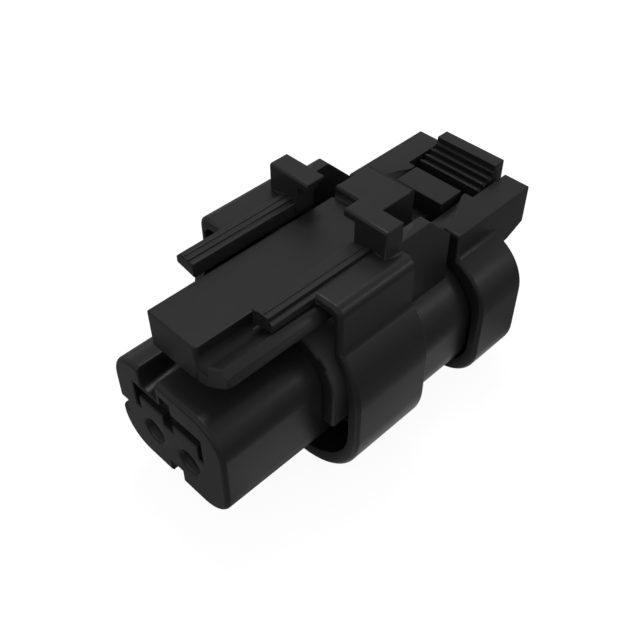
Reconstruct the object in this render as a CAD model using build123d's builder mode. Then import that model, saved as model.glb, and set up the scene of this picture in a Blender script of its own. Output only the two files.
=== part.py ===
from build123d import *
from math import sqrt
import os

# Sealed two-pin connector plug, in millimetres. X is across, the nose points along -Y, Z is up.
# The origin is at the middle of the plug's length, under it, at the height of its lowest face.
# Places along the plug are distances behind the nose face.

# Overall
contact_pitch = 5.05
contact_height = 8.2
slip = 0.1
overcut = 0.5
near = 0.01

# Nose
nose_width = 15.3
nose_top = 16.0
nose_bottom = 3.7
nose_corner = 3.6
nose_edge = 0.5
port_bore = 2.4
port_flare = 0.3
port_depth = 1.4
key_width = 2.4
key_depth = 2.25
key_offset = -2.3
side_groove_height = 1.6
side_groove_depth = 1.25
side_groove_middle = 8.65
foot_groove_width = 1.8
foot_groove_depth = 1.8
foot_groove_offset = 0.2

# Contact cavities
cavity_width = 3.6
cavity_height = 3.5
cavity_behind = 4.5
wire_bore = 3.2

# Front lock
lock_recess = 0.7
lock_slot_width = 9.5
lock_slot_bottom = 11.9
lock_slot_height = 1.5
lock_leg_width = 0.65
lock_leg_bottom = 10.2
lock_stem_width = 1.4
lock_stem_bottom = 10.7
lock_stem_top = 14.6
lock_depth = 9.0

# Shroud
shroud_front = 12.4
shroud_length = 9.4
shroud_gap = 2.6
shroud_wall = 1.25
shroud_floor = 1.65
shroud_foot_corner = 7.5
shroud_side_top = 11.9
shroud_bulge = 9.0
shroud_back = 1.5
shroud_rim = 0.3

# Shoulder over the shroud
shoulder_width = 18.2
shoulder_rise = 0.9
shoulder_wall = 0.75
shoulder_roof = 1.0
shoulder_corner = 1.1
shoulder_inside_corner = 0.9
channel_width = 7.6

# Latch arm
arm_front = 1.9
arm_width = 6.3
arm_height = 4.1
arm_gap = 2.0
arm_wall = 1.1
arm_roof = 1.8
panel_round = 0.5
arm_clearance = 1.3
catch_front = 8.6
catch_length = 1.6
hinge_front = 16.6
hinge_length = 1.6
hinge_height = 1.1
pad_behind_shroud = 2.1
pad_length = 5.05
pad_width = 5.6
pad_rise = 1.35
pad_lift = 0.3
pad_edge = 0.45

# Side wing of the arm
wing_reach = 7.3
wing_crest_place = 6.2
wing_crest_drop = 0.15
wing_rim_place = 6.95
wing_rim_drop = 0.65
wing_tip_drop = 1.4
wing_root_drop = 2.0
wing_root_round = 0.55
wing_belly = 0.35
wing_belly_place = 0.5
wing_belly_slope = 0.8
wing_corner = 0.6
wing_end = 15.6

# Guard rails
rail_front = 7.5
rail_width = 2.35
rail_depth = 1.4
rail_slope = 0.45
rail_ridge_rise = 0.35
rail_step_rise = 0.2
rail_ridge_width = 1.3
rail_strip_width = 0.6
rail_edge = 0.2

# Stop lugs
lug_front = 19.75
lug_length = 2.2
lug_outside = 7.28
lug_leg_inside = 3.6
lug_inside = 2.3
lug_rise = 2.9
lug_hook = 0.8
lug_edge = 0.3

# Guard walls
guard_outside = 7.08
guard_thickness = 1.3
guard_rise = 0.45
guard_ramp_length = 3.35
guard_ramp_drop = 3.3
guard_gap = 1.15

# Rear tube
tube_into_cover = 5.1
tube_inset = 1.7
tube_top = 15.5
tube_bottom = 2.0
tube_top_corner = 6.0
tube_foot_corner = 4.5
tube_wall = 1.7

# Seals
retainer_front = 11.8
retainer_length = 4.7
retainer_fill = 0.6
retainer_foot = 8.5
seal_length = 2.8
seal_lip = 0.4
seal_lips = 2
lip_share = 0.45
wire_seal_length = 6.0
wire_seal_bore = 1.9
wire_seal_lips = 2
wire_seal_from_end = 8.7

# Contacts
contact_width = 3.2
contact_box_height = 3.1
contact_front = 1.5
contact_box_length = 8.6
contact_wall = 0.4
blade_slot_height = 1.0
barrel_diameter = 2.4
barrel_length = 3.8
grip_diameter = 2.9
grip_length = 3.0
contact_neck = 1.4
neck_height = 1.6

# Rear cover
cover_front = 30.6
cover_length = 6.6
cover_side_wall = 1.25
cover_floor = 0.85
cover_roof = 0.65
cover_top_corner = 5.5
cover_foot_corner = 4.8
cover_gap = 0.25
cover_back = 1.3
cover_edge = 0.25
wire_entry = 3.4
block_overhang = 4.9
block_inside = 4.25
block_outside = 7.25
block_height = 2.8
block_lip = 3.3
block_lip_length = 6.0
block_lip_height = 1.2
block_foot_round = 0.8
scoop_width = 2.5
scoop_length = 5.3
scoop_depth = 0.75
overhang_end_depth = 4.4
overhang_knee = 2.35
overhang_depth = 5.45
overhang_toe = 0.6
block_edge = 0.35

# Position lock
slider_base = 0.8
slider_width = 7.6
slider_height = 4.3
slider_bar = 1.5
slider_shelf_width = 5.95
slider_shelf_height = 3.0
slider_shelf_inset = 2.55
slider_shelf_length = 3.15
ramp_groove = 1.55
ramp_foot_height = 2.1
ramp_rise = 0.9
ramp_ribs = 4
rib_height = 0.6
rib_width = 0.28
rib_groove = 0.1
tongue_width = 3.0
tongue_thickness = 0.6
tongue_reach = 5.5
tongue_block = 1.2

half_pitch = contact_pitch / 2
nose_half = nose_width / 2
arm_half = arm_width / 2
arm_bottom = nose_top + arm_gap
arm_top = arm_bottom + arm_height
arm_underside = arm_top - arm_roof
pad_top = arm_top + pad_rise
shoulder_top = arm_top + shoulder_rise
lug_top = shoulder_top + lug_rise
guard_top = shoulder_top + guard_rise
channel_half = channel_width / 2
shroud_width = nose_width + 2 * (shroud_gap + shroud_wall)
shroud_end = shroud_front + shroud_length
shroud_inside_end = shroud_end - shroud_back
tube_width = shroud_width - 2 * tube_inset
ring_gap = min(shroud_gap, nose_bottom - shroud_floor)
seal_front = retainer_front + retainer_length + slip
ridge_start = channel_half + rail_strip_width
pad_front = shroud_end + pad_behind_shroud
cover_end = cover_front + cover_length
length = cover_end + block_overhang
tube_end = cover_front + tube_into_cover
cover_width = tube_width + 2 * (cover_gap + cover_side_wall)
cover_bottom = tube_bottom - cover_gap - cover_floor
cover_top = tube_top + cover_gap + cover_roof
pocket_floor = cover_top
block_top = pocket_floor + block_height
overhang_foot = block_top - overhang_depth
guard_end = cover_front - guard_gap
wire_seal_front = tube_end - wire_seal_from_end
cavity_end = wire_seal_front - cavity_behind
shelf_front = cover_front + slider_shelf_inset
shelf_end = shelf_front + slider_shelf_length


def across(along):
    """Plane across the plug at a distance behind the nose face: X across, Y up."""
    return Plane.XZ.offset(length / 2 - along)


def beside(sideways):
    """Plane along the plug at a sideways place: X is the place along the length, Y up."""
    return Plane(origin=(sideways, -length / 2, 0), x_dir=(0, 1, 0), z_dir=(1, 0, 0))


def bar(left, right, bottom, top, mode=Mode.ADD):
    """Rectangle between two sideways places and two heights."""
    with Locations(((left + right) / 2, (bottom + top) / 2)):
        Rectangle(right - left, top - bottom, mode=mode)


def both_bars(inside, outside, bottom, top, mode=Mode.ADD):
    """The same rectangle on both sides of the middle."""
    bar(inside, outside, bottom, top, mode)
    bar(-outside, -inside, bottom, top, mode)


def edges_at(part, direction, sideways=None, along=None, height=None):
    """Straight edges of a part in one direction, at the places given."""
    chosen = part.edges().filter_by(direction)
    back = None if along is None else along - length / 2
    for axis, place in ((Axis.X, sideways), (Axis.Y, back), (Axis.Z, height)):
        if place is not None:
            chosen = chosen.filter_by_position(axis, place - near, place + near)
    return chosen


def nose_section(grow, mode=Mode.ADD):
    """Rounded section of the nose, larger all round by grow."""
    with Locations((0, (nose_top + nose_bottom) / 2)):
        RectangleRounded(
            nose_width + 2 * grow, nose_top - nose_bottom + 2 * grow, nose_corner + grow, mode=mode
        )


def soft_outline(half, bottom, top, foot_corner, top_corner):
    """Outline of an oval body with its own corner radius at the foot and at the top."""
    Line((0, bottom), (half - foot_corner, bottom))
    RadiusArc((half - foot_corner, bottom), (half, bottom + foot_corner), -foot_corner)
    Line((half, bottom + foot_corner), (half, top - top_corner))
    RadiusArc((half, top - top_corner), (half - top_corner, top), -top_corner)
    Line((half - top_corner, top), (0, top))
    mirror(about=Plane.YZ)


def tube_outline(grow):
    """Outline of the rear tube, larger all round by grow."""
    soft_outline(
        tube_width / 2 + grow,
        tube_bottom - grow,
        tube_top + grow,
        tube_foot_corner + grow,
        tube_top_corner + grow,
    )


def shroud_outline(wall, floor, side_wall, roof, corner):
    """Outline of the shroud and its shoulder, set in by the walls given."""
    half = shroud_width / 2 - wall
    foot_corner = shroud_foot_corner - wall
    bulge = shroud_bulge - wall
    side = shoulder_width / 2 - side_wall
    run = side - (shroud_width / 2 - shroud_bulge)
    neck = shroud_side_top + sqrt(bulge**2 - run**2)
    top = shoulder_top - roof
    Line((0, floor), (half - foot_corner, floor))
    RadiusArc((half - foot_corner, floor), (half, floor + foot_corner), -foot_corner)
    Line((half, floor + foot_corner), (half, shroud_side_top))
    RadiusArc((half, shroud_side_top), (side, neck), -bulge)
    Line((side, neck), (side, top - corner))
    RadiusArc((side, top - corner), (side - corner, top), -corner)
    Line((side - corner, top), (0, top))
    mirror(about=Plane.YZ)


def lock_section(shrink):
    """Slot of the front lock: a cross bar with a stem and two end legs, set in by shrink."""
    half = lock_slot_width / 2 - shrink
    top = lock_slot_bottom + lock_slot_height - shrink
    bar(-half, half, lock_slot_bottom + shrink, top)
    both_bars(half - lock_leg_width + 2 * shrink, half, lock_leg_bottom + shrink, top)
    stem = lock_stem_width / 2 - shrink
    bar(-stem, stem, lock_stem_bottom + shrink, lock_stem_top - shrink)


# Housing: one moulding
with BuildPart() as housing:
    # Nose and shroud as solid blocks, then the ring between them
    with BuildSketch(across(0)):
        nose_section(0)
    extrude(amount=-shroud_inside_end)
    fillet(housing.faces().sort_by(Axis.Y)[0].edges(), nose_edge)
    with BuildSketch(across(shroud_front)):
        with BuildLine():
            shroud_outline(0, 0, 0, 0, shoulder_corner)
        make_face()
    extrude(amount=-shroud_length)
    mouth = housing.faces().filter_by(Plane.XZ).sort_by(Axis.Y)[1]
    chamfer(mouth.outer_wire().edges(), shroud_rim)
    with BuildSketch(across(shroud_front)):
        with BuildLine():
            shroud_outline(
                shroud_wall, shroud_floor, shoulder_wall, shoulder_roof, shoulder_inside_corner
            )
        make_face()
        nose_section(0, mode=Mode.SUBTRACT)
    extrude(amount=-(shroud_length - shroud_back), mode=Mode.SUBTRACT)
    # Open channel over the latch arm, through the roof and the back wall
    with BuildSketch(across(shroud_front)):
        bar(-channel_half, channel_half, arm_underside - arm_clearance, shoulder_top + 1)
    extrude(amount=-shroud_length, mode=Mode.SUBTRACT)

    # Rear tube
    with BuildSketch(across(shroud_inside_end)):
        with BuildLine():
            tube_outline(0)
        make_face()
    extrude(amount=-(tube_end - shroud_inside_end))
    with BuildSketch(across(wire_seal_front)):
        with BuildLine():
            tube_outline(-tube_wall)
        make_face()
    extrude(amount=-(tube_end - wire_seal_front), mode=Mode.SUBTRACT)

    # Guard walls that run back from the shoulder and slope down onto the tube
    for side in (1, -1):
        with BuildSketch(beside(side * (guard_outside - guard_thickness / 2))):
            with BuildLine():
                Polyline(
                    (shroud_end - slip, tube_top - tube_wall),
                    (guard_end, tube_top - tube_wall),
                    (guard_end, guard_top - guard_ramp_drop),
                    (guard_end - guard_ramp_length, guard_top),
                    (shroud_end - slip, guard_top),
                    close=True,
                )
            make_face()
        extrude(amount=guard_thickness / 2, both=True)

    # Guard rails and stop lugs
    rail_bottom = shoulder_top - rail_depth
    with BuildSketch(across(rail_front)):
        with BuildLine():
            Polyline(
                (channel_half, rail_bottom),
                (channel_half + rail_width, rail_bottom + rail_slope),
                (channel_half + rail_width, shoulder_top - rail_edge),
                (channel_half + rail_width - rail_edge, shoulder_top),
                (ridge_start + rail_ridge_width, shoulder_top),
                (ridge_start + rail_ridge_width, shoulder_top + rail_ridge_rise),
                (ridge_start, shoulder_top + rail_ridge_rise),
                (ridge_start, shoulder_top + rail_step_rise),
                (channel_half, shoulder_top + rail_step_rise),
                close=True,
            )
        make_face()
        mirror(about=Plane.YZ)
    extrude(amount=-(lug_front + lug_length / 2 - rail_front))
    with BuildSketch(across(lug_front)):
        both_bars(lug_leg_inside, lug_outside, shoulder_top - shoulder_roof, lug_top)
        both_bars(lug_inside, lug_leg_inside, lug_top - lug_hook, lug_top)
    extrude(amount=-lug_length)

    # Latch arm with its side wing, hollow below
    wing_crest = arm_top - wing_crest_drop
    wing_root = arm_top - wing_root_drop
    with BuildSketch(across(arm_front)):
        with BuildLine():
            Polyline(
                (0, arm_bottom),
                (-arm_half, arm_bottom),
                (-arm_half, arm_top),
                (arm_half, arm_top),
                (arm_half, wing_root),
                (wing_crest_place, wing_crest),
                (wing_rim_place, arm_top - wing_rim_drop),
                (wing_reach, arm_top - wing_tip_drop),
            )
            Spline(
                (wing_reach, arm_top - wing_tip_drop),
                (arm_half + wing_belly_place, arm_bottom + wing_belly),
                (0, arm_bottom),
                tangents=((-1, -wing_belly_slope), (-1, 0)),
            )
        make_face()
    extrude(amount=-(wing_end - arm_front))
    fillet(edges_at(housing, Axis.Y, sideways=arm_half, height=wing_root), wing_root_round)
    fillet(edges_at(housing, Axis.Z, sideways=arm_half, along=arm_front), panel_round)
    # Front corner of the wing, rounded in plan
    with BuildSketch(Plane.XY.offset(arm_bottom)):
        with Locations((wing_reach - wing_corner / 2, arm_front + wing_corner / 2 - length / 2)):
            Rectangle(wing_corner, wing_corner)
        with Locations((wing_reach - wing_corner, arm_front + wing_corner - length / 2)):
            Circle(wing_corner, mode=Mode.SUBTRACT)
    extrude(amount=arm_top - arm_bottom, mode=Mode.SUBTRACT)
    # Hollows in front of and behind the catch; the left skirt ends at the catch
    with BuildSketch(across(arm_front + arm_wall)):
        bar(-arm_half + arm_wall, arm_half - arm_wall, arm_bottom - 1, arm_underside)
    extrude(amount=-(catch_front - arm_front - arm_wall), mode=Mode.SUBTRACT)
    with BuildSketch(across(catch_front + catch_length)):
        bar(-arm_half - 1, arm_half - arm_wall, arm_bottom - 1, arm_underside)
    extrude(amount=-(wing_end - catch_front - catch_length), mode=Mode.SUBTRACT)
    with BuildSketch(across(wing_end)):
        bar(-arm_half, arm_half, arm_underside, arm_top)
    extrude(amount=-(pad_front - wing_end))
    with BuildSketch(across(hinge_front)):
        both_bars(
            arm_half,
            shoulder_width / 2 - shoulder_wall,
            arm_underside,
            arm_underside + hinge_height,
        )
    extrude(amount=-hinge_length)
    with BuildSketch(across(pad_front)):
        bar(-pad_width / 2, pad_width / 2, arm_bottom + pad_lift, pad_top)
    extrude(amount=-pad_length)
    fillet(edges_at(housing, Axis.X, along=pad_front, height=pad_top), pad_edge)
    fillet(edges_at(housing, Axis.X, along=pad_front + pad_length, height=pad_top), pad_edge)
    fillet(edges_at(housing, Axis.X, along=lug_front, height=lug_top), lug_edge)

    # Contact cavities, ports and wire passages
    with BuildSketch(across(port_depth)):
        with Locations((-half_pitch, contact_height), (half_pitch, contact_height)):
            Rectangle(cavity_width, cavity_height)
    extrude(amount=-(cavity_end - port_depth), mode=Mode.SUBTRACT)
    for bore, start, end in ((port_bore, 0, port_depth), (wire_bore, cavity_end, wire_seal_front)):
        with BuildSketch(across(start)):
            with Locations((-half_pitch, contact_height), (half_pitch, contact_height)):
                Circle(bore / 2)
        extrude(amount=-(end - start), mode=Mode.SUBTRACT)
    chamfer(edges_at(housing, GeomType.CIRCLE, along=0), port_flare)

    # Slot of the front lock, key channel in the top and grooves along the nose
    with BuildSketch(across(0)):
        lock_section(0)
    extrude(amount=-lock_depth, mode=Mode.SUBTRACT)
    with BuildSketch(across(0)):
        bar(
            key_offset - key_width / 2,
            key_offset + key_width / 2,
            nose_top - key_depth,
            nose_top + overcut,
        )
        bar(
            -nose_half - overcut,
            -nose_half + side_groove_depth,
            side_groove_middle - side_groove_height / 2,
            side_groove_middle + side_groove_height / 2,
        )
        bar(
            foot_groove_offset - foot_groove_width / 2,
            foot_groove_offset + foot_groove_width / 2,
            nose_bottom - overcut,
            nose_bottom + foot_groove_depth,
        )
    extrude(amount=-retainer_front, mode=Mode.SUBTRACT)

housing.part.label = "housing"

# Front lock insert
with BuildPart() as terminal_lock:
    with BuildSketch(across(lock_recess)):
        lock_section(slip)
    extrude(amount=-(lock_depth - lock_recess - slip))

terminal_lock.part.label = "terminal_lock"

# Saddle on the root of the nose
with BuildPart() as seal_retainer:
    with BuildSketch(across(retainer_front)):
        nose_section(slip + retainer_fill * ring_gap)
        nose_section(slip, mode=Mode.SUBTRACT)
        bar(-nose_width, nose_width, 0, retainer_foot, mode=Mode.SUBTRACT)
    extrude(amount=-retainer_length)

seal_retainer.part.label = "seal_retainer"

# Ring seal with two lips
with BuildPart() as interface_seal:
    seal_reach = ring_gap - slip
    with BuildSketch(across(seal_front)):
        nose_section(seal_reach - seal_lip)
        nose_section(slip / 2, mode=Mode.SUBTRACT)
    extrude(amount=-seal_length)
    lip_step = seal_length / seal_lips
    for lip in range(seal_lips):
        with BuildSketch(across(seal_front + lip_step * (lip + (1 - lip_share) / 2))):
            nose_section(seal_reach)
            nose_section(seal_lip / 2, mode=Mode.SUBTRACT)
        extrude(amount=-lip_step * lip_share)

interface_seal.part.label = "interface_seal"

# Block seal in the rear tube
with BuildPart() as wire_seal:
    with BuildSketch(across(wire_seal_front + slip)):
        with BuildLine():
            tube_outline(-tube_wall - seal_lip)
        make_face()
    extrude(amount=-wire_seal_length)
    lip_step = wire_seal_length / wire_seal_lips
    for lip in range(wire_seal_lips):
        with BuildSketch(across(wire_seal_front + slip + lip_step * (lip + (1 - lip_share) / 2))):
            with BuildLine():
                tube_outline(-tube_wall - slip / 2)
            make_face()
        extrude(amount=-lip_step * lip_share)
    with BuildSketch(across(wire_seal_front)):
        with Locations((-half_pitch, contact_height), (half_pitch, contact_height)):
            Circle(wire_seal_bore / 2)
    extrude(amount=-(wire_seal_length + 1), mode=Mode.SUBTRACT)

wire_seal.part.label = "wire_seal"


def make_contact(sideways):
    """Receptacle box with a blade slot, a neck, a wire barrel and an insulation grip."""
    neck_top = contact_height - contact_box_height / 2 + neck_height
    box_end = contact_front + contact_box_length
    barrel_front = box_end + contact_neck
    grip_front = barrel_front + barrel_length + contact_neck / 2
    grip_end = grip_front + grip_length
    with BuildPart() as contact:
        with BuildSketch(across(contact_front)):
            with Locations((sideways, contact_height)):
                RectangleRounded(contact_width, contact_box_height, contact_wall)
        extrude(amount=-contact_box_length)
        with BuildSketch(across(contact_front)):
            with Locations((sideways, contact_height)):
                Rectangle(contact_width - 2 * contact_wall, blade_slot_height)
        extrude(amount=-(contact_box_length - contact_wall), mode=Mode.SUBTRACT)
        with BuildSketch(across(box_end)):
            bar(
                sideways - barrel_diameter / 2,
                sideways + barrel_diameter / 2,
                contact_height - contact_box_height / 2,
                neck_top,
            )
        extrude(amount=-(grip_end - box_end - contact_wall))
        with BuildSketch(across(barrel_front)):
            with Locations((sideways, contact_height)):
                Circle(barrel_diameter / 2)
        extrude(amount=-barrel_length)
        with BuildSketch(across(grip_front)):
            with Locations((sideways, contact_height)):
                Circle(grip_diameter / 2)
        extrude(amount=-grip_length)
        with BuildSketch(across(barrel_front)):
            with Locations((sideways, contact_height)):
                Circle(barrel_diameter / 2 - contact_wall)
        extrude(amount=-(grip_end - barrel_front), mode=Mode.SUBTRACT)
    return contact.part


contacts = {"contact_left": make_contact(-half_pitch), "contact_right": make_contact(half_pitch)}

# Rear cover with its two blocks
with BuildPart() as rear_cover:
    with BuildSketch(across(cover_front)):
        with BuildLine():
            soft_outline(
                cover_width / 2, cover_bottom, cover_top, cover_foot_corner, cover_top_corner
            )
        make_face()
    extrude(amount=-(cover_end - cover_front))
    chamfer(rear_cover.faces().sort_by(Axis.Y)[0].edges(), cover_edge)
    chamfer(rear_cover.faces().sort_by(Axis.Y)[-1].edges(), cover_edge)
    with BuildSketch(beside(0)):
        with BuildLine():
            Polyline(
                (cover_front, overhang_foot - 1),
                (cover_front, block_top),
                (length, block_top),
                (length, block_top - overhang_end_depth),
                (length - overhang_knee, overhang_foot),
                (cover_end, overhang_foot - overhang_toe),
                (cover_end, overhang_foot - 1),
                close=True,
            )
        make_face()
    extrude(amount=block_outside, both=True)
    fillet(edges_at(rear_cover, Axis.X, along=cover_front, height=block_top), block_edge)
    for side in (1, -1):
        feet = edges_at(rear_cover, Axis.Y, sideways=side * block_outside).sort_by(Axis.Z)
        fillet(feet.filter_by_position(Axis.Z, cover_bottom, cover_top)[-1], block_foot_round)
    # Pocket of the position lock: narrow lips in front, undercut at the floor
    with BuildSketch(across(cover_front)):
        bar(-block_lip, block_lip, pocket_floor, block_top + 1)
        bar(-block_inside, block_inside, pocket_floor, block_top - block_lip_height)
    extrude(amount=-(length - cover_front), mode=Mode.SUBTRACT)
    lip_end = cover_front + block_lip_length
    with BuildSketch(across(lip_end)):
        bar(-block_inside, block_inside, pocket_floor, block_top + 1)
    extrude(amount=-(length - lip_end), mode=Mode.SUBTRACT)
    # Scoops in the inner front of the block tops, wide and deep in front, narrow behind
    for side in (1, -1):
        for along, reach in ((cover_front - slip, scoop_width), (cover_front + scoop_length, slip)):
            with BuildSketch(across(along)):
                with BuildLine():
                    Polyline(
                        (side * (block_lip - slip), block_top - scoop_depth),
                        (side * (block_lip + reach), block_top),
                        (side * (block_lip + reach), block_top + slip),
                        (side * (block_lip - slip), block_top + slip),
                        close=True,
                    )
                make_face()
        loft(mode=Mode.SUBTRACT)
    # Cup over the tube, with a plug behind the seal and the wire entries through it
    with BuildSketch(across(cover_front)):
        with BuildLine():
            tube_outline(cover_gap)
        make_face()
    extrude(amount=-(cover_end - cover_back - cover_front), mode=Mode.SUBTRACT)
    plug_front = wire_seal_front + wire_seal_length + 2 * slip
    with BuildSketch(across(plug_front)):
        with BuildLine():
            tube_outline(-tube_wall - slip)
        make_face()
    extrude(amount=-(cover_end - cover_back / 2 - plug_front))
    with BuildSketch(across(plug_front)):
        with Locations((-half_pitch, contact_height), (half_pitch, contact_height)):
            Circle(wire_entry / 2)
    extrude(amount=-(cover_end - plug_front), mode=Mode.SUBTRACT)

rear_cover.part.label = "rear_cover"

# Position lock: base plate, shelf, ribbed ramp, end bar and a tongue that ends under the pad
with BuildPart() as position_lock:
    base_bottom = pocket_floor + slip
    base_top = base_bottom + slider_base
    shelf_top = pocket_floor + slider_shelf_height
    with BuildSketch(across(shelf_front)):
        bar(-block_inside + slip, block_inside - slip, base_bottom, base_top)
    extrude(amount=-(length - shelf_front))
    with BuildSketch(across(shelf_front)):
        bar(-slider_shelf_width / 2, slider_shelf_width / 2, base_bottom, shelf_top)
    extrude(amount=-slider_shelf_length)
    with BuildSketch(beside(0)):
        with BuildLine():
            ramp_front = shelf_end + ramp_groove
            bar_front = length - slider_bar
            rib_pitch = (bar_front - rib_width - ramp_front) / (ramp_ribs - 1)
            profile = [(ramp_front, base_bottom)]
            for rib in range(ramp_ribs):
                front = ramp_front + rib * rib_pitch
                foot = pocket_floor + ramp_foot_height + rib * ramp_rise / (ramp_ribs - 1)
                profile.append((front, foot))
                profile.append((front, foot + rib_height))
                profile.append((front + rib_width, foot + rib_height))
                if rib < ramp_ribs - 1:
                    profile.append((front + rib_width + rib_groove, foot))
            profile.append((bar_front, pocket_floor + slider_height))
            profile.append((length, pocket_floor + slider_height))
            profile.append((length, base_bottom))
            Polyline(profile, close=True)
        make_face()
    extrude(amount=slider_width / 2, both=True)
    tongue_front = shelf_front - tongue_reach
    with BuildSketch(across(tongue_front)):
        bar(-tongue_width / 2, tongue_width / 2, base_bottom, base_bottom + tongue_thickness)
    extrude(amount=-tongue_reach)
    with BuildSketch(across(tongue_front)):
        bar(-tongue_width / 2, tongue_width / 2, base_bottom, arm_bottom + pad_lift - slip)
    extrude(amount=-tongue_block)

position_lock.part.label = "position_lock"

os.makedirs("parts", exist_ok=True)
export_step(housing.part, "parts/housing.step")
export_step(terminal_lock.part, "parts/terminal_lock.step")
export_step(seal_retainer.part, "parts/seal_retainer.step")
export_step(interface_seal.part, "parts/interface_seal.step")
export_step(wire_seal.part, "parts/wire_seal.step")
for name, contact in contacts.items():
    contact.label = name
    export_step(contact, f"parts/{name}.step")
export_step(rear_cover.part, "parts/rear_cover.step")
export_step(position_lock.part, "parts/position_lock.step")
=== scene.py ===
import math

import bmesh
import bpy
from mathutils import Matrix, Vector


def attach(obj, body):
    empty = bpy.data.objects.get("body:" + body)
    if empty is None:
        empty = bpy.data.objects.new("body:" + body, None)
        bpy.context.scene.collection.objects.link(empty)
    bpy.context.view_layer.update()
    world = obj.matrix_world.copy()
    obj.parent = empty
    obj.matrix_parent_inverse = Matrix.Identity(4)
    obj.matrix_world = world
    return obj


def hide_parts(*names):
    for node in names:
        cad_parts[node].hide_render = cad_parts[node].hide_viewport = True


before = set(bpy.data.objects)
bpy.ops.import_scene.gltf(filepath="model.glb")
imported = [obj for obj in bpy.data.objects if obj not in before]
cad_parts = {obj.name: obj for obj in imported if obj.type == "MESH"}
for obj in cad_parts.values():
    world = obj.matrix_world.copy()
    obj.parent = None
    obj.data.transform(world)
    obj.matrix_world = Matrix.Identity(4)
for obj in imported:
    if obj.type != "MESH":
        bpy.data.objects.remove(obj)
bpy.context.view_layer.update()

MM = 0.001

# The view: the camera stands in front, to the right and above, and looks down at 45 degrees
CAMERA_PLACE = (0.043825, -0.045775, 0.0730)
CAMERA_TILT = math.radians(45)
CAMERA_TURN = math.radians(45)
CAMERA_ANGLE = math.radians(40)
CAMERA_START = 1 * MM

# Light: an even pale room, a soft lamp high behind the plug, and two weak ones for its edges.
# Each lamp has its place, its width and height, and its power, and all of them aim at the plug.
ROOM_LEVEL = 0.58
ROOM_COLOUR = (1.0, 1.0, 1.0, 1.0)
WALL_GLOSS = 0.05
LAMP_AIM = (0, 0, 12 * MM)
LAMPS = {
    "high_lamp": ((-0.10, 0.10, 0.44), (0.16, 0.16), 0.65),
    "front_lamp": ((-0.03, -0.38, 0.13), (0.40, 0.03), 0.11),
    "right_lamp": ((0.28, 0.21, 0.19), (0.08, 0.08), 0.10),
}

# The floor: its paper, its glow for the camera, and how bright the plastic mirrors it. A strip on
# each side of the plug is mirrored brighter. It fades in over STRIP_NEAR and out over STRIP_FAR,
# and towards its two ends over STRIP_END.
FLOOR_SIZE = 4.0
FLOOR_PAPER = (0.12, 0.12, 0.12, 1.0)
FLOOR_GLOW = 0.93
FLOOR_GLOSS = 0.12
STRIP_GLOSS = 0.62
STRIP_NEAR = (7 * MM, 10 * MM)
STRIP_FAR = (13 * MM, 21 * MM)
STRIP_END = (15 * MM, 21 * MM)

# Rounding of the moulded edges, the angle past which an edge counts as one, the gap within which
# two corners are the same, and how strongly large faces keep their shading flat, out of 100
MOULD_EDGE = 0.13 * MM
SMALL_EDGE = 0.06 * MM
SADDLE_EDGE = 0.28 * MM
EDGE_STEPS = 3
SHARP_ANGLE = math.radians(30)
SAME_PLACE = 0.0005 * MM
FLATNESS = 90

# Zones whose edges stay as the CAD has them, in millimetres: how far out to the side, where along
# the plug and how high. WING_TIP is on the right side only.
WING_TIP = ((3.0, 99.0), (-99.0, -13.2), (17.5, 99.0))
LUG_CORNER = ((2.2, 2.4), (-1.4, -1.2), (25.0, 25.2))
LUG_LEG = ((3.4, 3.6), (-1.4, -1.2), (22.0, 25.2))
PAD_FRONT = ((2.7, 2.9), (2.80, 3.29), (23.02, 23.46))
PAD_BACK = ((2.7, 2.9), (7.46, 7.95), (23.02, 23.46))
WIRE_ENTRY = ((0.8, 4.3), (9.0, 17.0), (6.4, 10.0))

# The nose, its two ports and the saddle round its root
NOSE_FACE = -21.05 * MM
NOSE_SIDE = 7.65 * MM
NOSE_TOP = 16.0 * MM
PORTS = {"left": -2.525 * MM, "right": 2.525 * MM}
PORT_HEIGHT = 8.2 * MM
SADDLE_FRONT = -9.25 * MM
SADDLE_CLEAR = 0.3 * MM
SADDLE_SLACK = 0.01 * MM

# A port's lead-in, in millimetres: the radius and the depth behind the nose face, all round
FUNNEL_PROFILE = ((1.185, 0.26), (1.12, 0.34), (0.95, 0.85), (0.95, 1.34), (1.185, 1.34))
FUNNEL_TURNS = 64

# The fine beads along the guard rails
BEAD_OUT = 5.05 * MM
BEAD_HEIGHT = 23.36 * MM
BEAD_FRONT = -13.35 * MM
BEAD_BACK = -1.25 * MM
BEAD_RADIUS = 0.10 * MM
BEAD_SIDES = 12

# Sizes of the marks in the plastic, the depth they give its surface, and how much of it shows
GRAIN = 0.05 * MM
CLOUDS = 7 * MM
STREAKS = 1.1 * MM
STREAK_STRETCH = 5.0
RUBS = 0.7 * MM
PLASTIC_RELIEF = 0.006 * MM
RELIEF_STRENGTH = 0.5

# Places of the housing that the mould's polish didn't reach: each a middle and a reach
TROUGH_SIDE = (3.75 * MM, 0.75 * MM)
TROUGH_LENGTH = (-17.3 * MM, 3.9 * MM)
TROUGH_HEIGHT = (20.4 * MM, 0.65 * MM)
PAD_BACK_LENGTH = (7.75 * MM, 0.40 * MM)
PAD_BACK_HEIGHT = (23.1 * MM, 0.40 * MM)
UNPOLISHED_ROUGHNESS = 0.5

# The saddle's painted light: the grey painted on its flank behind its front face, as if lit, where
# it starts and where it is full
SADDLE_PAINTED_LIGHT = (SADDLE_FRONT + 0.05 * MM, SADDLE_FRONT + 0.35 * MM)
SADDLE_CLOUDS = 3 * MM

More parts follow.
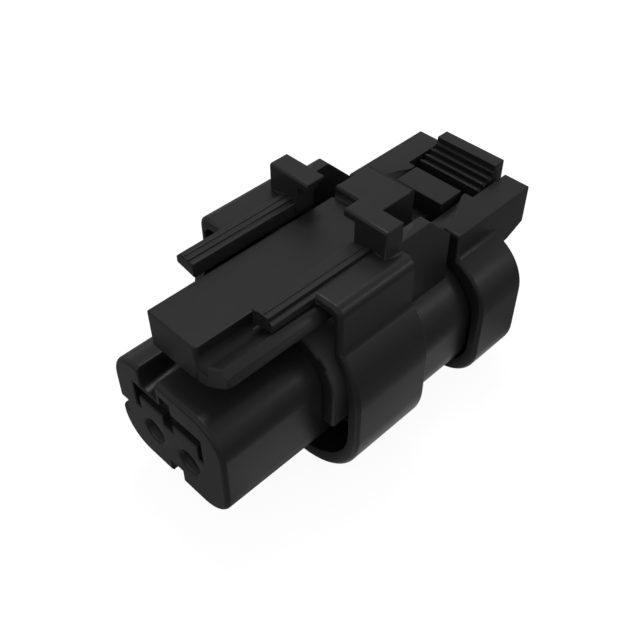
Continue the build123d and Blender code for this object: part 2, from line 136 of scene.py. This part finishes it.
# Marks on the seals and on the contacts
SEAL_BLOOM = 1.6 * MM
SEAL_GRAIN = 0.1 * MM
SEAL_RELIEF = 0.015 * MM
METAL_MARKS = 0.25 * MM
METAL_PATCHES = 1.4 * MM
METAL_DARK = (0.62, 0.58, 0.50, 1.0)
METAL_PALE = (0.74, 0.72, 0.68, 1.0)
METAL_RELIEF = 0.006 * MM


class Maths:
    """A number on a shader socket, so that shading formulas read as plain expressions."""

    def __init__(self, sheet, socket):
        self.sheet = sheet
        self.socket = socket

    def step(self, operation, *values):
        made = self.sheet.node("ShaderNodeMath", {"operation": operation})
        for place, value in zip(made.inputs, values):
            self.sheet.put(place, value)
        return Maths(self.sheet, made.outputs[0])

    def __add__(self, other):
        return self.step("ADD", self, other)

    def __radd__(self, other):
        return self.step("ADD", other, self)

    def __sub__(self, other):
        return self.step("SUBTRACT", self, other)

    def __rsub__(self, other):
        return self.step("SUBTRACT", other, self)

    def __mul__(self, other):
        return self.step("MULTIPLY", self, other)

    def __rmul__(self, other):
        return self.step("MULTIPLY", other, self)

    def size(self):
        return self.step("ABSOLUTE", self)

    def near(self, middle, reach):
        """1 within reach of a middle value, 0 outside."""
        return self.step("COMPARE", self, middle, reach)

    def ramp(self, start, end):
        """0 at start, 1 at end."""
        return ((self - start) * (1 / (end - start))).clamp()

    def clamp(self):
        return self.step("MINIMUM", self.step("MAXIMUM", self, 0.0), 1.0)


class Sheet:
    """A node tree that is laid out from one method."""

    def __init__(self, tree):
        self.tree = tree

    def node(self, kind, settings=None, sockets=None):
        """Adds a node: its settings first, then the values or links of its sockets."""
        made = self.tree.nodes.new(kind)
        for key, value in (settings or {}).items():
            setattr(made, key, value)
        for key, value in (sockets or {}).items():
            self.put(made.inputs[key], value)
        return made

    def put(self, socket, value):
        """Sets a socket to a value, or links it."""
        if isinstance(value, Maths):
            self.tree.links.new(value.socket, socket)
        elif isinstance(value, bpy.types.NodeSocket):
            self.tree.links.new(value, socket)
        else:
            socket.default_value = value


class Finish(Sheet):
    """A procedural material with one Principled shader."""

    def __init__(self, name):
        self.material = bpy.data.materials.new(name)
        self.material.use_nodes = True
        super().__init__(self.material.node_tree)
        self.shader = self.tree.nodes["Principled BSDF"]
        self.place = self.node("ShaderNodeTexCoord").outputs["Object"]

    def stretched(self, along):
        """Object places drawn out along Y, for marks that run the way the plastic flowed."""
        scale = (1.0, 1 / along, 1.0)
        made = self.node("ShaderNodeMapping", None, {"Vector": self.place, "Scale": scale})
        return made.outputs["Vector"]

    def noise(self, size, detail=3.0, roughness=0.55, place=None):
        """Noise from 0 to 1 whose features are about size metres wide."""
        made = self.node(
            "ShaderNodeTexNoise",
            None,
            {
                "Vector": place or self.place,
                "Scale": 1 / size,
                "Detail": detail,
                "Roughness": roughness,
            },
        )
        return Maths(self, made.outputs["Fac"])

    def axes(self):
        """The three Object coordinates."""
        made = self.node("ShaderNodeSeparateXYZ", None, {"Vector": self.place})
        return [Maths(self, made.outputs[axis]) for axis in ("X", "Y", "Z")]

    def blend(self, factor, first, second):
        """A colour between two, by a factor."""
        sockets = {"Factor": factor, 6: first, 7: second}
        return self.node("ShaderNodeMix", {"data_type": "RGBA"}, sockets).outputs[2]

    def bump(self, height, depth):
        """A bump of the given depth in metres from a height of 0 to 1, into the shader."""
        sockets = {"Strength": RELIEF_STRENGTH, "Distance": depth, "Height": height}
        made = self.node("ShaderNodeBump", None, sockets)
        self.put(self.shader.inputs["Normal"], made.outputs["Normal"])


def grey(level, warmth=0.0):
    """A near-neutral colour, a little warmer or cooler."""
    return (level * (1 + warmth), level, level * (1 - warmth), 1.0)


def moulded_plastic(name, level, roughness, shine, matt=None):
    """Near-black moulded plastic: fine spark-eroded grain, faint flow streaks, uneven gloss.

    matt gives the part of the surface, from 0 to 1, that the mould's polish didn't reach.
    """
    finish = Finish(name)
    grain = finish.noise(GRAIN, 2.0)
    clouds = finish.noise(CLOUDS)
    streaks = finish.noise(STREAKS, 4.0, 0.65, finish.stretched(STREAK_STRETCH))
    rubs = finish.noise(RUBS, 4.0, 0.7)
    shade = (0.4 * clouds + 0.35 * streaks + 0.25 * rubs).clamp()
    finish.put(
        finish.shader.inputs["Base Color"],
        finish.blend(shade, grey(level * 0.75, 0.01), grey(level * 1.25, -0.01)),
    )
    gloss = roughness + (clouds - 0.5) * 0.08 + (rubs - 0.5) * 0.06 + (streaks - 0.5) * 0.05
    if matt:
        gloss = gloss + UNPOLISHED_ROUGHNESS * matt(*finish.axes())
    finish.put(finish.shader.inputs["Roughness"], gloss.clamp())
    finish.shader.inputs["Specular IOR Level"].default_value = shine
    finish.bump(0.45 * grain + 0.3 * rubs + 0.25 * streaks, PLASTIC_RELIEF)
    return finish.material


def unpolished(x, y, z):
    """Two narrow places: the trough by the latch arm and the back of the press pad."""
    trough = x.near(*TROUGH_SIDE) * z.near(*TROUGH_HEIGHT) * y.near(*TROUGH_LENGTH)
    pad_back = y.near(*PAD_BACK_LENGTH) * z.near(*PAD_BACK_HEIGHT)
    return (trough + pad_back).clamp()


def saddle_painted_lit_plastic(name):
    """Plastic of the saddle: dark on its front face, with painted light behind its front edge that
    greys its flank as if lit.
    """
    finish = Finish(name)
    # painted light: the flank behind the front edge is painted grey as if lit, while the front
    # face stays dark
    behind = finish.axes()[1].ramp(*SADDLE_PAINTED_LIGHT)
    clouds = finish.noise(SADDLE_CLOUDS)
    finish.put(
        finish.shader.inputs["Base Color"],
        finish.blend((behind * (0.8 + 0.4 * clouds)).clamp(), grey(0.012), grey(0.085)),
    )
    finish.put(finish.shader.inputs["Roughness"], 0.34 + 0.12 * clouds)
    finish.shader.inputs["Specular IOR Level"].default_value = 0.20
    return finish.material


def seal_rubber(name):
    """Dull silicone rubber with a faint bloom."""
    finish = Finish(name)
    bloom = finish.noise(SEAL_BLOOM, 4.0, 0.65)
    fine = finish.noise(SEAL_GRAIN, 2.0)
    finish.put(
        finish.shader.inputs["Base Color"],
        finish.blend(bloom, grey(0.010, 0.02), grey(0.024, 0.01)),
    )
    finish.put(finish.shader.inputs["Roughness"], (0.60 + 0.25 * bloom).clamp())
    finish.shader.inputs["Specular IOR Level"].default_value = 0.3
    finish.bump(0.5 * fine + 0.5 * bloom, SEAL_RELIEF)
    return finish.material


def tinned_metal(name):
    """Dull tin plating on brass with faint drawing marks."""
    finish = Finish(name)
    marks = finish.noise(METAL_MARKS, 5.0, 0.7)
    patches = finish.noise(METAL_PATCHES)
    finish.put(
        finish.shader.inputs["Base Color"],
        finish.blend(patches, METAL_DARK, METAL_PALE),
    )
    finish.shader.inputs["Metallic"].default_value = 1.0
    finish.put(finish.shader.inputs["Roughness"], (0.26 + 0.22 * marks).clamp())
    finish.bump(marks, METAL_RELIEF)
    return finish.material


def dress(node, material):
    """Gives a CAD node a material in every slot."""
    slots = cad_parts[node].data.materials
    slots.clear()
    slots.append(material)


def placed(name, data):
    """An object in the scene for a mesh, a lamp or a camera."""
    made = bpy.data.objects.new(name, data)
    bpy.context.scene.collection.objects.link(made)
    return made


def eased(node, body, material, width, chosen):
    """Replaces a CAD node with a copy whose triangles are joined and whose edges are rounded.

    chosen tells which corners of the outer edges are rounded. Without it every sharp edge is.
    """
    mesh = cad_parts[node].data.copy()
    mesh.name = f"{node}_moulded"
    work = bmesh.new()
    work.from_mesh(mesh)
    bmesh.ops.remove_doubles(work, verts=work.verts, dist=SAME_PLACE)
    if chosen:
        weights = work.edges.layers.float.new("bevel_weight_edge")
        for edge in work.edges:
            sharp = edge.calc_face_angle(0) > SHARP_ANGLE
            taken = all(chosen(corner.co) for corner in edge.verts)
            rounded = sharp and edge.is_convex and taken
            edge[weights] = float(rounded)
            edge.smooth = rounded or not sharp
    work.to_mesh(mesh)
    work.free()
    mesh.materials.clear()
    mesh.materials.append(material)
    for face in mesh.polygons:
        face.use_smooth = True
    moulded = placed(f"{node}_moulded", mesh)
    bevel = moulded.modifiers.new("rounded_edges", "BEVEL")
    bevel.width = width
    bevel.segments = EDGE_STEPS
    bevel.limit_method = "WEIGHT" if chosen else "ANGLE"
    bevel.angle_limit = SHARP_ANGLE
    bevel.use_clamp_overlap = chosen is None
    even = moulded.modifiers.new("flat_faces", "WEIGHTED_NORMAL")
    even.mode = "FACE_AREA_WITH_ANGLE"
    even.weight = FLATNESS
    even.keep_sharp = True
    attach(moulded, body)
    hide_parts(node)


def inside(place, zone):
    """True for a place inside a zone."""
    return all(low * MM < value < high * MM for value, (low, high) in zip(place, zone))


def crowded(place, *zones):
    """True inside one of the zones, each mirrored in the plug's middle plane."""
    spot = (abs(place.x), place.y, place.z)
    return any(inside(spot, zone) for zone in zones)


def outer_housing(place):
    """True away from the wing's thin tip, the lugs' lower corners and legs, and the pad's arcs."""
    crowd = crowded(place, LUG_CORNER, LUG_LEG, PAD_FRONT, PAD_BACK)
    return not inside(place, WING_TIP) and not crowd


def outer_cover(place):
    """True away from the rims of the wire entries."""
    return not crowded(place, WIRE_ENTRY)


def outer_front(place):
    """True on the saddle's front outline, away from the nose that it sits on."""
    outside = abs(place.x) > NOSE_SIDE + SADDLE_CLEAR or place.z > NOSE_TOP + SADDLE_CLEAR
    return place.y < SADDLE_FRONT + SADDLE_SLACK and outside


def bead_tree():
    """Geometry Nodes for a thin straight bead between two points."""
    group = bpy.data.node_groups.new("moulded_bead", "GeometryNodeTree")
    group.interface.new_socket("Geometry", in_out="INPUT", socket_type="NodeSocketGeometry")
    for label, kind in (
        ("Start", "NodeSocketVector"),
        ("End", "NodeSocketVector"),
        ("Radius", "NodeSocketFloat"),
        ("Finish", "NodeSocketMaterial"),
    ):
        group.interface.new_socket(label, in_out="INPUT", socket_type=kind)
    group.interface.new_socket("Geometry", in_out="OUTPUT", socket_type="NodeSocketGeometry")
    sheet = Sheet(group)
    given = sheet.node("NodeGroupInput").outputs
    ends = {"Start": given["Start"], "End": given["End"]}
    line = sheet.node("GeometryNodeCurvePrimitiveLine", None, ends)
    section = {"Resolution": BEAD_SIDES, "Radius": given["Radius"]}
    ring = sheet.node("GeometryNodeCurvePrimitiveCircle", None, section)
    swept = {"Curve": line.outputs["Curve"], "Profile Curve": ring.outputs["Curve"]}
    bead = sheet.node("GeometryNodeCurveToMesh", None, {**swept, "Fill Caps": True})
    whole = sheet.node("GeometryNodeRealizeInstances", None, {"Geometry": bead.outputs["Mesh"]})
    finished = sheet.node(
        "GeometryNodeSetMaterial",
        None,
        {"Geometry": whole.outputs["Geometry"], "Material": given["Finish"]},
    )
    sheet.node("NodeGroupOutput", None, {"Geometry": finished.outputs["Geometry"]})
    return group


def rail_bead(name, group, start, end, radius, material):
    """A bead that runs along a guard rail, from the bead tree."""
    seed = placed(f"{name}_seed", bpy.data.meshes.new(f"{name}_seed"))
    grown = seed.modifiers.new("bead", "NODES")
    grown.node_group = group
    given = {"Start": start, "End": end, "Radius": radius, "Finish": material}
    for item in group.interface.items_tree:
        if item.in_out == "INPUT" and item.name in given:
            grown[item.identifier] = given[item.name]
    bpy.context.view_layer.update()
    evaluated = seed.evaluated_get(bpy.context.evaluated_depsgraph_get())
    mesh = bpy.data.meshes.new_from_object(evaluated)
    seed.modifiers.remove(grown)
    bpy.data.objects.remove(seed)
    mesh.name = name
    for face in mesh.polygons:
        face.use_smooth = len(face.vertices) == 4
    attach(placed(name, mesh), "plug")


def port_funnel(side, material):
    """The lead-in of a port: a ring whose bore narrows towards the contact."""
    work = bmesh.new()
    rings = []
    for radius, depth in FUNNEL_PROFILE:
        ring = []
        for turn in range(FUNNEL_TURNS):
            angle = 2 * math.pi * turn / FUNNEL_TURNS
            x = PORTS[side] + radius * MM * math.cos(angle)
            z = PORT_HEIGHT + radius * MM * math.sin(angle)
            ring.append(work.verts.new((x, NOSE_FACE + depth * MM, z)))
        rings.append(ring)
    for place, ring in enumerate(rings):
        following = rings[(place + 1) % len(rings)]
        for turn in range(FUNNEL_TURNS):
            beside = (turn + 1) % FUNNEL_TURNS
            work.faces.new((ring[turn], ring[beside], following[beside], following[turn]))
    bmesh.ops.recalc_face_normals(work, faces=work.faces)
    mesh = bpy.data.meshes.new(f"port_funnel_{side}")
    work.to_mesh(mesh)
    work.free()
    mesh.materials.append(material)
    for face in mesh.polygons:
        face.use_smooth = True
    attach(placed(f"port_funnel_{side}", mesh), "plug")


HOUSING_PLASTIC = moulded_plastic("housing_plastic", 0.0150, 0.34, 0.20, unpolished)
COVER_PLASTIC = moulded_plastic("cover_plastic", 0.0140, 0.34, 0.19)
LOCK_PLASTIC = moulded_plastic("lock_plastic", 0.0140, 0.32, 0.19)
SADDLE_PAINTED_LIT_PLASTIC = saddle_painted_lit_plastic("saddle_painted_lit_plastic")
SEAL_RUBBER = seal_rubber("seal_rubber")
CONTACT_METAL = tinned_metal("contact_metal")

FINISHES = {
    "housing": HOUSING_PLASTIC,
    "terminal_lock": LOCK_PLASTIC,
    "seal_retainer": SADDLE_PAINTED_LIT_PLASTIC,
    "interface_seal": SEAL_RUBBER,
    "contact_left": CONTACT_METAL,
    "contact_right": CONTACT_METAL,
    "wire_seal": SEAL_RUBBER,
    "rear_cover": COVER_PLASTIC,
    "position_lock": LOCK_PLASTIC,
}
EASED = {
    "housing": ("plug", MOULD_EDGE, outer_housing),
    "terminal_lock": ("front_lock", SMALL_EDGE, None),
    "seal_retainer": ("plug", SADDLE_EDGE, outer_front),
    "rear_cover": ("plug", MOULD_EDGE, outer_cover),
    "position_lock": ("slider", SMALL_EDGE, None),
}
for node_name, material in FINISHES.items():
    dress(node_name, material)
for node_name, (body, width, chosen) in EASED.items():
    eased(node_name, body, FINISHES[node_name], width, chosen)
for port_side in PORTS:
    port_funnel(port_side, LOCK_PLASTIC)
BEADS = bead_tree()
for rail_side, way in (("left", -1), ("right", 1)):
    rail_bead(
        f"rail_bead_{rail_side}",
        BEADS,
        (way * BEAD_OUT, BEAD_FRONT, BEAD_HEIGHT),
        (way * BEAD_OUT, BEAD_BACK, BEAD_HEIGHT),
        BEAD_RADIUS,
        HOUSING_PLASTIC,
    )


def studio():
    """A pale floor in an even pale room, with three soft lamps."""
    world = bpy.data.worlds.new("room")
    bpy.context.scene.world = world
    world.use_nodes = True
    room = Sheet(world.node_tree)
    room.tree.nodes.clear()
    ray = room.node("ShaderNodeLightPath").outputs
    seen = Maths(room, ray["Is Camera Ray"]) + WALL_GLOSS * Maths(room, ray["Is Glossy Ray"])
    seen = (seen + Maths(room, ray["Is Transmission Ray"])).clamp()
    level = ROOM_LEVEL + (1 - ROOM_LEVEL) * seen
    wall = room.node("ShaderNodeBackground", None, {"Color": ROOM_COLOUR, "Strength": level})
    room.node("ShaderNodeOutputWorld", None, {"Surface": wall.outputs["Background"]})

    bpy.ops.mesh.primitive_plane_add(size=FLOOR_SIZE, location=(0, 0, 0))
    floor = bpy.context.active_object
    floor.name = "floor"
    cover = bpy.data.materials.new("floor_paper")
    cover.use_nodes = True
    paper = Sheet(cover.node_tree)
    paper.tree.nodes.clear()
    ray = paper.node("ShaderNodeLightPath").outputs
    place = paper.node("ShaderNodeTexCoord").outputs["Object"]
    parts = paper.node("ShaderNodeSeparateXYZ", None, {"Vector": place}).outputs
    across = Maths(paper, parts["X"]).size()
    beside = across.ramp(*STRIP_NEAR) * (1 - across.ramp(*STRIP_FAR))
    along = 1 - Maths(paper, parts["Y"]).size().ramp(*STRIP_END)
    mirrored = FLOOR_GLOSS + (STRIP_GLOSS - FLOOR_GLOSS) * beside * along
    seen = Maths(paper, ray["Is Camera Ray"]) + mirrored * Maths(paper, ray["Is Glossy Ray"])
    seen = (seen + Maths(paper, ray["Is Transmission Ray"])).clamp()
    matt = paper.node("ShaderNodeBsdfDiffuse", None, {"Color": FLOOR_PAPER})
    glow = paper.node("ShaderNodeEmission", None, {"Strength": FLOOR_GLOW})
    added = {0: matt.outputs["BSDF"], 1: glow.outputs["Emission"]}
    both = paper.node("ShaderNodeAddShader", None, added)
    mixed = {"Fac": seen, 1: matt.outputs["BSDF"], 2: both.outputs["Shader"]}
    shown = paper.node("ShaderNodeMixShader", None, mixed)
    paper.node("ShaderNodeOutputMaterial", None, {"Surface": shown.outputs["Shader"]})
    floor.data.materials.append(cover)

    for name, (place, (width, height), power) in LAMPS.items():
        lamp = bpy.data.lights.new(name, "AREA")
        lamp.shape = "ELLIPSE"
        lamp.size = width
        lamp.size_y = height
        lamp.energy = power
        holder = placed(name, lamp)
        holder.location = place
        aim = Vector(LAMP_AIM) - Vector(place)
        holder.rotation_euler = aim.to_track_quat("-Z", "Y").to_euler()


def camera():
    """The photograph's view."""
    lens = bpy.data.cameras.new("view")
    lens.angle = CAMERA_ANGLE
    lens.clip_start = CAMERA_START
    holder = placed("view", lens)
    holder.location = CAMERA_PLACE
    holder.rotation_euler = (CAMERA_TILT, 0, CAMERA_TURN)
    bpy.context.scene.camera = holder


studio()
camera()
bpy.context.scene.view_settings.view_transform = "Standard"
